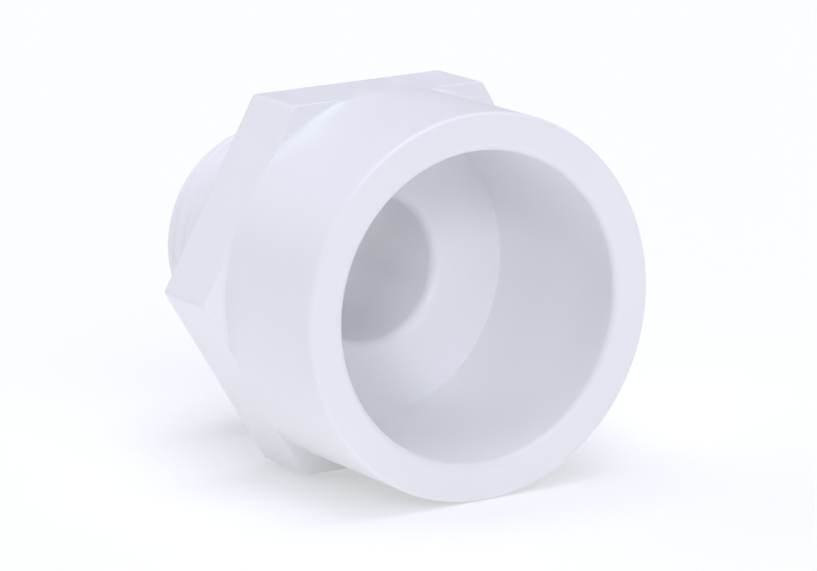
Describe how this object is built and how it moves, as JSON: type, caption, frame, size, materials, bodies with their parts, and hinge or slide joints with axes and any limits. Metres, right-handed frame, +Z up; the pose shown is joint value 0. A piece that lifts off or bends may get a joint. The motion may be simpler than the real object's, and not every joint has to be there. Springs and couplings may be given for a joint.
{
  "type": "concentric reducer",
  "caption": "Moulded rigid PVC reducing adapter with a round slip socket, a hex wrench collar and a smaller tapered male pipe thread on one axis.",
  "frame": {"origin": "centre of the socket's mouth face, on the flow axis", "axes": "+X along the flow axis, out of the socket mouth; +Z up, square to a wrench flat; the thread end is at -X"},
  "size_m": [0.0374, 0.0372, 0.0332],
  "materials": {
    "pvc": "smooth moulded, semi-gloss white"
  },
  "bodies": {
    "root": {"socket": "pvc", "hex_collar": "pvc", "pipe_stop": "pvc", "threaded_end": "pvc"}
  },
  "joints": []
}
